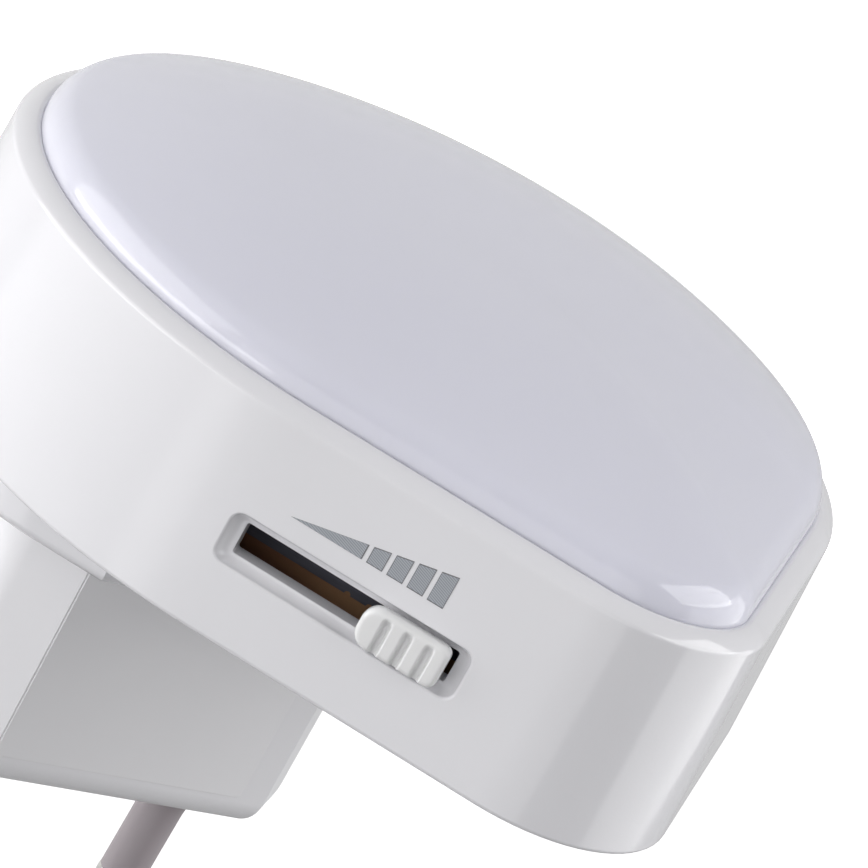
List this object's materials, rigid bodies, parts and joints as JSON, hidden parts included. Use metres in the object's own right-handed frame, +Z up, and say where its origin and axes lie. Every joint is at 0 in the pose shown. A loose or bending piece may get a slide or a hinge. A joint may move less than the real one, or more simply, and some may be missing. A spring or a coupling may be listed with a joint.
{
  "type": "plug-in night light",
  "caption": "Drop-shaped plug-in night light with a domed opal diffuser, a side slide dimmer and a flat plug body with round pins.",
  "frame": {"origin": "midway between the two pins, on the face of the plug that meets the wall socket", "axes": "+Z up in use, towards the pointed tip of the head; +Y into the wall socket; -Y out of the diffuser into the room; +X to the right seen from the room"},
  "size_m": [0.07, 0.0776, 0.0795],
  "materials": {
    "housing_white": "glossy moulded white",
    "lens_opal": "satin opal white",
    "plug_white": "satin moulded white",
    "pin_metal": "bright nickel plating",
    "pin_sleeve": "smooth grey insulation",
    "steel_screw": "zinc plated",
    "lug_brass": "tinned brass",
    "rating_label": "bare satin film",
    "tray_white": "matt reflector white",
    "led_board_white": "white solder mask",
    "led_yellow": "phosphor yellow",
    "carriage_black": "moulded black",
    "spring_bronze": "bright spring bronze",
    "phenolic_brown": "resin bonded paper",
    "carbon_film": "carbon ink",
    "scale_grey": "printed grey",
    "board_green": "green solder mask",
    "film_box_red": "glossy resin",
    "can_blue": "shrink sleeve",
    "chip_black": "moulded epoxy",
    "resistor_green": "lacquered",
    "resistor_tan": "lacquered",
    "wire_brown": "smooth insulation",
    "wire_blue": "smooth insulation",
    "wire_red": "smooth insulation",
    "wire_yellow": "smooth insulation"
  },
  "bodies": {
    "root": {"front_housing": "housing_white", "diffuser_lens": "lens_opal", "rear_cover": "housing_white", "cover_screws": "steel_screw", "plug_body": "plug_white", "pin_carrier": "plug_white", "pin_left": "pin_metal", "pin_right": "pin_metal", "pin_sleeve_left": "pin_sleeve", "pin_sleeve_right": "pin_sleeve", "pin_lugs": "lug_brass", "plug_screws": "steel_screw", "rating_plate": "rating_label", "reflector_tray": "tray_white", "led_board": "led_board_white", "led_chips": "led_yellow", "led_board_screws": "steel_screw", "potentiometer_case": "steel_screw", "potentiometer_board": "phenolic_brown", "carbon_track": "carbon_film", "potentiometer_terminals": "lug_brass", "potentiometer_screws": "steel_screw", "dimmer_scale": "scale_grey", "power_board": "board_green", "power_board_screws": "steel_screw", "film_capacitor": "film_box_red", "reservoir_capacitor": "can_blue", "bridge_rectifier": "chip_black", "fusible_resistor": "resistor_green", "discharge_resistor": "resistor_tan", "live_wire": "wire_brown", "neutral_wire": "wire_blue", "led_wires": "wire_red", "dimmer_wires": "wire_yellow"},
    "dimmer": {"slider_knob": "housing_white", "slider_lever": "steel_screw", "wiper_carriage": "carriage_black", "wiper_spring": "spring_bronze"}
  },
  "joints": [
    {"name": "dimmer_slide", "type": "slide", "parent": "root", "child": "dimmer", "axis": [0.7071, 0, -0.7071], "range_m": [0, 0.0097]}
  ]
}
